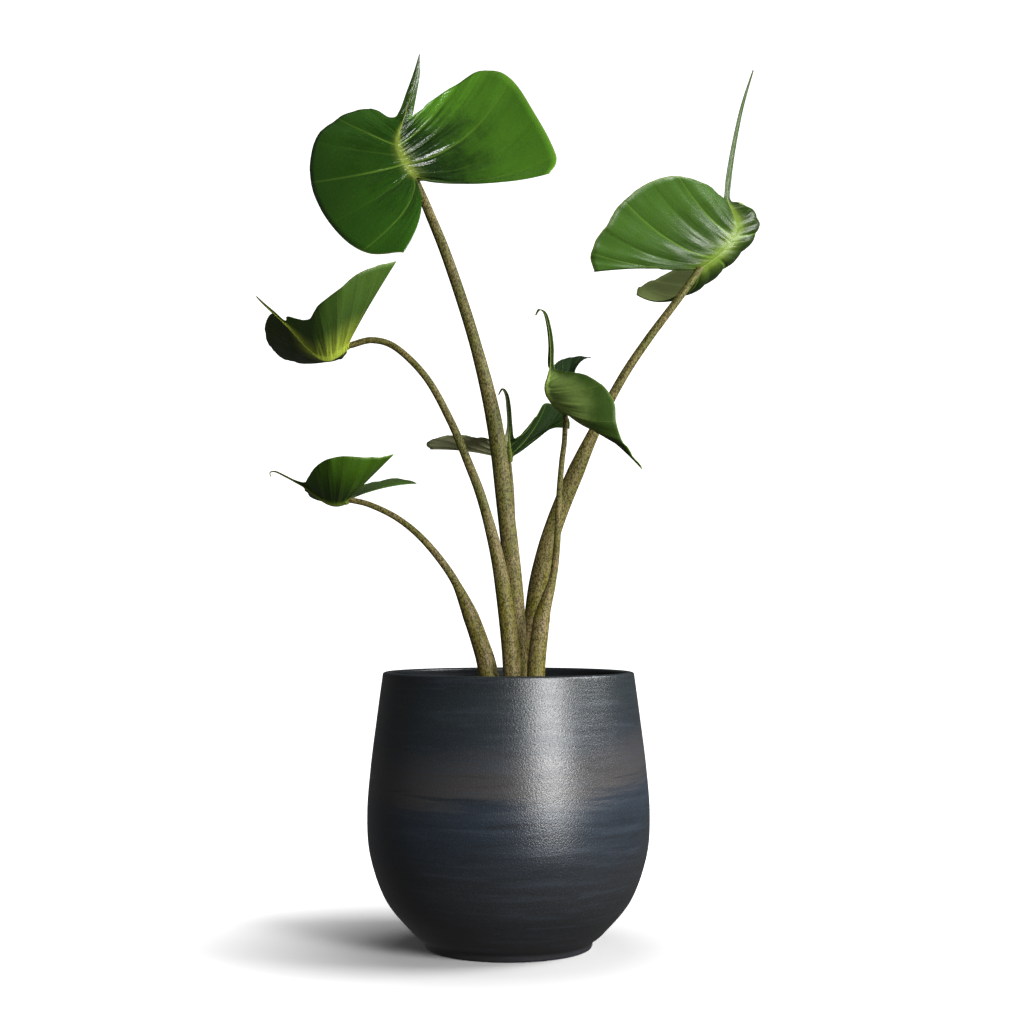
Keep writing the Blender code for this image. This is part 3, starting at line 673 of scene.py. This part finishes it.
def blade_surface(leaf, seed, look):
    """A function of (across, along) that gives a point of the blade, across from -1 to 1, and its ribs."""
    roots, left, right = wing_lines(leaf)
    ribs = len(leaf["left"])
    left_middle = middles(roots, left, leaf["left_bows"], ribs)
    right_middle = middles(roots, right, leaf["right_bows"], ribs)

    def smooth_point(across, along):
        middle, margin = (left_middle, left) if across < 0 else (right_middle, right)
        s = abs(across)
        root = spline(roots, along)
        return (root * (1 - s) * (1 - 2 * s) + spline(middle, along) * 4 * s * (1 - s)
                + spline(margin, along) * s * (2 * s - 1))

    def point(across, along):
        here = smooth_point(across, along)
        outer = smooth_point(min(across + SLOPE_STEP, 1), along)
        side = outer - smooth_point(max(across - SLOPE_STEP, -1), along)
        ahead = smooth_point(across, along + SLOPE_STEP) - smooth_point(across, max(along - SLOPE_STEP, 0))
        up = side.cross(ahead).normalized()
        return here + up * relief(across, along, ribs, seed, look) * MM

    return point, ribs, len(roots)


def show_blade(name, leaf, seed):
    """A blade with its veins sunk above and raised below, its own map of veins and a skin on each side."""
    point, ribs, stations = blade_surface(leaf, seed, RELIEF[name])
    wing_rows = (ribs - 1) * ROWS_PER_RIB
    rows = wing_rows + (stations - ribs) * ROWS_PER_TAIL_POINT
    form = bmesh.new()
    bmesh.ops.create_grid(form, x_segments=2 * COLUMNS, y_segments=rows, size=1)
    layer = form.loops.layers.uv.new("blade")
    thickness = []
    for vertex in form.verts:
        column = vertex.co.x
        row = round((vertex.co.y + 1) / 2 * rows)
        if row <= wing_rows:
            along = row / ROWS_PER_RIB
        else:
            along = ribs - 1 + (row - wing_rows) / ROWS_PER_TAIL_POINT
        across = math.copysign(abs(column) ** COLUMN_POWER, column)
        for loop in vertex.link_loops:
            loop[layer].uv = (across, along)
        vertex.co = point(across, along)
        s = abs(across)
        towards_tip = 1 - along / (stations - 1)
        deep = MIDRIB_DEEP * towards_tip * math.exp(-((s / MIDRIB_SHARE) ** 2))
        if row <= wing_rows:
            off_rib = abs(along - round(along)) * (RIB_GAP_ROOT + (RIB_GAP_EDGE - RIB_GAP_ROOT) * s)
            deep = max(deep, VEIN_DEEP * (1 - s) * math.exp(-((off_rib / VEIN_DEEP_WIDTH) ** 2)))
        thickness.append((BLADE_THICK + deep) / (BLADE_THICK + MIDRIB_DEEP))
    skins = [leaf_material("leaf " + name + " upper skin", name, True),
             leaf_material("leaf " + name + " lower skin", name, False)]
    blade = show("leaf_" + name, mesh_of(form, "leaf_" + name), skins, "blade_" + name)
    group = blade.vertex_groups.new(name="thickness")
    for index, weight in enumerate(thickness):
        group.add([index], weight, "REPLACE")
    shell = blade.modifiers.new("thickness", "SOLIDIFY")
    shell.thickness = (BLADE_THICK + MIDRIB_DEEP) * MM
    shell.offset = -1
    shell.vertex_group = "thickness"
    shell.material_offset = 1


def petiole_radius(leaf, share):
    """The radius at this share of the petiole's length: thicker towards the soil and in the sheath."""
    base, top = leaf["radii"]
    sheathed = min(1.0, max(0.0, (leaf["sheath"] - share) / SHEATH_END))
    return top + (base - top) * (1 - share) ** leaf["taper"] + leaf["swell"] * sheathed


def show_petiole(name, leaf, skin):
    """A tapered stalk whose sheath opens towards the plant's middle, running on into the blade's midrib."""
    path = leaf["petiole"] + [leaf["midrib"][0]]
    line = [seen(p) for p in path]
    rows = (len(line) - 1) * PETIOLE_ROWS_PER_POINT
    inner = Vector(leaf["inner"])
    form = bmesh.new()
    bmesh.ops.create_grid(form, x_segments=PETIOLE_SIDES, y_segments=rows, size=1)
    for vertex in form.verts:
        turn = vertex.co.x * math.pi
        share = (vertex.co.y + 1) / 2
        at = share * (len(line) - 1)
        share = min(1.0, at / (len(line) - 2))
        centre = spline(line, at)
        after = spline(line, min(at + PETIOLE_STEP, len(line) - 1))
        ahead = (after - spline(line, max(at - PETIOLE_STEP, 0))).normalized()
        towards = (inner - ahead * inner.dot(ahead)).normalized()
        sideways = ahead.cross(towards)
        lip = SHEATH_LIP * max(0.0, 1 - share / leaf["sheath"]) ** 0.5
        near_lip = max(0.0, 1 - abs(abs(turn) - SHEATH_TURN) / SHEATH_LIP_SPREAD)
        groove = max(0.0, 1 - abs(turn) / SHEATH_TURN)
        beyond = max(0.0, at - (len(line) - 2))
        radius = petiole_radius(leaf, share) * (1 - PETIOLE_END_TAPER * beyond)
        radius *= 1 + lip * (near_lip - SHEATH_GROOVE * groove)
        vertex.co = centre + (towards * math.cos(turn) + sideways * math.sin(turn)) * radius * MM
    bmesh.ops.remove_doubles(form, verts=form.verts, dist=SAME_POINT)
    bmesh.ops.holes_fill(form, edges=[edge for edge in form.edges if edge.is_boundary])
    bmesh.ops.recalc_face_normals(form, faces=form.faces)
    show("stalk_" + name, mesh_of(form, "stalk_" + name), [skin], "petiole_" + name)


def turned(profile, sides):
    """A form turned about Z from a profile of (radius, height) points in millimetres, its poles merged."""
    form = bmesh.new()
    corners = [form.verts.new((radius * MM, 0, height * MM)) for radius, height in profile]
    edges = [form.edges.new(pair) for pair in zip(corners, corners[1:])]
    bmesh.ops.spin(form, geom=corners + edges, axis=(0, 0, 1), cent=(0, 0, 0), angle=math.tau, steps=sides,
                   use_merge=True)
    bmesh.ops.remove_doubles(form, verts=form.verts, dist=SAME_POINT)
    bmesh.ops.recalc_face_normals(form, faces=form.faces)
    return form


def outside_curve(steps):
    """Points down the pot's outside, from the rim to the foot."""
    points = [Vector((radius, height, 0)) for radius, height in POT_OUTSIDE]
    count = (len(points) - 1) * steps
    return [tuple(spline(points, k / steps)[:2]) for k in range(count + 1)]


def show_pot():
    """The pot with its round rim, its curved wall and its small foot."""
    outside = outside_curve(POT_STEPS)
    rim_radius, rim_height = outside[0]
    inside = [(r - WALL, z) for r, z in reversed(outside) if z > INSIDE_START]
    rim_middle = rim_radius - WALL / 2
    rim = []
    for k in range(1, RIM_STEPS):
        turn = math.pi * (1 - k / RIM_STEPS)
        rim.append((rim_middle + WALL / 2 * math.cos(turn), rim_height + RIM_RISE * math.sin(turn)))
    foot = [(FOOT_RADIUS + FOOT_FILLET, FOOT_TOP + FOOT_FILLET_RISE), (FOOT_RADIUS, FOOT_TOP),
            (FOOT_RADIUS, FOOT_EDGE), (FOOT_RADIUS - FOOT_ROUNDING, FOOT_EDGE * 0.3),
            (FOOT_RADIUS - FOOT_EDGE, 0)]
    profile = [(0, FLOOR), (inside[0][0] - FLOOR_INSET, FLOOR)] + inside + rim + outside + foot + [(0, 0)]
    form = turned(profile, POT_SIDES)
    show("glazed_pot", mesh_of(form, "glazed_pot"), [glaze_material()], "pot")


def mix_height(x, y):
    """The mix's top in millimetres, mounded in the middle and rough."""
    radius = math.hypot(x, y)
    mound = SOIL_MOUND * max(0.0, 1 - radius / MOUND_RADIUS)
    rough = noise.fractal(Vector((x, y, 0)) * MIX_ROUGH_WAVES, 1.0, 2.0, 4)
    return SOIL_TOP - MIX_SINK + mound + MIX_ROUGH * rough


def show_mix():
    """The potting mix, a full body with a rough top and loose crumbs of bark and peat on it."""
    curve = [(r - WALL - GAP, z) for r, z in reversed(outside_curve(MIX_STEPS))
             if INSIDE_START < z < MIX_WALL_END]
    wall = curve[-1][0] - MIX_WALL_INSET
    rings = int(wall / MIX_RING_STEP)
    top = [(wall * (1 - k / rings), SOIL_TOP - MIX_EDGE_DROP) for k in range(rings + 1)]
    profile = [(0, FLOOR + GAP), (curve[0][0] - FLOOR_INSET, FLOOR + GAP)] + curve + top
    form = turned(profile, SOIL_SIDES)
    for vertex in form.verts:
        x, y, z = vertex.co / MM
        if z > MIX_WALL_END:
            vertex.co.z = mix_height(x, y) * MM
    # Without a seed of its own, noise_vector gives other crumbs in every run.
    noise.seed_set(CRUMB_SEED)
    chance = random.Random(CRUMB_SEED)
    for _ in range(CRUMBS):
        radius = (wall - CRUMB_MARGIN) * math.sqrt(chance.random())
        turn = chance.random() * math.tau
        size = CRUMB_SMALL + (CRUMB_LARGE - CRUMB_SMALL) * chance.random() ** 2
        x = radius * math.cos(turn)
        y = radius * math.sin(turn)
        spin = Matrix.Rotation(chance.random() * math.tau, 4, Vector((chance.random(), chance.random(), 1)))
        stretch = Matrix.Diagonal([size * one * MM for one in CRUMB_STRETCH] + [1])
        spot = Matrix.Translation(Vector((x, y, mix_height(x, y) + size * CRUMB_LIFT)) * MM)
        made = bmesh.ops.create_icosphere(form, subdivisions=2, radius=1, matrix=spot @ spin @ stretch)
        seed = Vector((chance.random() * 50, 0, 0))
        for vertex in made["verts"]:
            lump = noise.noise_vector(vertex.co / MM * CRUMB_LUMP_WAVES + seed)
            vertex.co += lump * size * CRUMB_LUMP * MM
    show("mix", mesh_of(form, "mix"), [mix_material()], "potting_mix")


def show_studio():
    """A plain white floor that sweeps up behind and glows softly away from the pot."""
    paper, tree, shader = surface("white backdrop paper")
    shader.inputs["Base Color"].default_value = (PAPER_WHITE, PAPER_WHITE, PAPER_WHITE, 1)
    shader.inputs["Roughness"].default_value = 0.9
    shader.inputs["Specular IOR Level"].default_value = 0.1
    shader.inputs["Emission Color"].default_value = (1, 1, 1, 1)
    away = add(tree, "ShaderNodeVectorMath", {0: place(tree)}, operation="LENGTH").outputs["Value"]
    tree.links.new(ramp(tree, away, GLOW_START, GLOW_FULL), shader.inputs["Emission Strength"])
    form = bmesh.new()
    profile = [(-FLOOR_HALF, 0.0), (SWEEP_START, 0.0)]
    for k in range(1, SWEEP_STEPS + 1):
        turn = math.pi / 2 * k / SWEEP_STEPS
        profile.append((SWEEP_START + SWEEP_RADIUS * math.sin(turn), SWEEP_RADIUS * (1 - math.cos(turn))))
    profile.append((SWEEP_START + SWEEP_RADIUS, BACK_HEIGHT))
    corners = [form.verts.new((-FLOOR_HALF, y, z)) for y, z in profile]
    edges = [form.edges.new(pair) for pair in zip(corners, corners[1:])]
    wide = bmesh.ops.extrude_edge_only(form, edges=edges)["geom"]
    moved = [one for one in wide if isinstance(one, bmesh.types.BMVert)]
    bmesh.ops.translate(form, verts=moved, vec=(2 * FLOOR_HALF, 0, 0))
    bmesh.ops.recalc_face_normals(form, faces=form.faces)
    mesh = mesh_of(form, "backdrop")
    mesh.materials.append(paper)
    backdrop = bpy.data.objects.new("backdrop", mesh)
    bpy.context.scene.collection.objects.link(backdrop)
    backdrop.visible_glossy = False
    backdrop.visible_diffuse = False


def lamp(name, at, aim, wide, high, power, mirrored):
    """A rectangular soft light at a place, turned to a point, and mirrored in glossy surfaces or not."""
    data = bpy.data.lights.new(name, "AREA")
    data.shape = "RECTANGLE"
    data.size = wide
    data.size_y = high
    data.energy = power
    made = bpy.data.objects.new(name, data)
    made.location = at
    made.rotation_euler = (Vector(aim) - Vector(at)).to_track_quat("-Z", "Y").to_euler()
    made.visible_glossy = mirrored
    bpy.context.scene.collection.objects.link(made)


def light():
    """A soft window and a side light at the right, a weak overhead and a weak fill, in a dim room."""
    for values in LAMPS:
        lamp(*values)
    world = bpy.data.worlds.new("dim room")
    world.use_nodes = True
    world.node_tree.nodes["Background"].inputs[0].default_value = (1, 1, 1, 1)
    world.node_tree.nodes["Background"].inputs[1].default_value = ROOM_LIGHT
    bpy.context.scene.world = world


def place_camera():
    """The camera, level a little above the pot's rim, its lens shifted up to take in the whole plant."""
    data = bpy.data.cameras.new("camera")
    data.lens = CAMERA_LENS
    data.shift_y = CAMERA_RISE
    made = bpy.data.objects.new("camera", data)
    made.location = (CAMERA_SIDE * MM, -VIEW_DISTANCE * MM, EYE_HEIGHT * MM)
    made.rotation_euler = (math.pi / 2, 0, 0)
    bpy.context.scene.collection.objects.link(made)
    bpy.context.scene.camera = made


def main():
    """The pot, the mix, the leaves and the studio, and then the lamps and the camera."""
    show_pot()
    show_mix()
    skin = stalk_material()
    for seed, (name, leaf) in enumerate(LEAVES.items()):
        show_petiole(name, leaf, skin)
        show_blade(name, leaf, seed * LEAF_APART)
    show_studio()
    light()
    place_camera()
    bpy.context.scene.view_settings.view_transform = "Standard"


main()
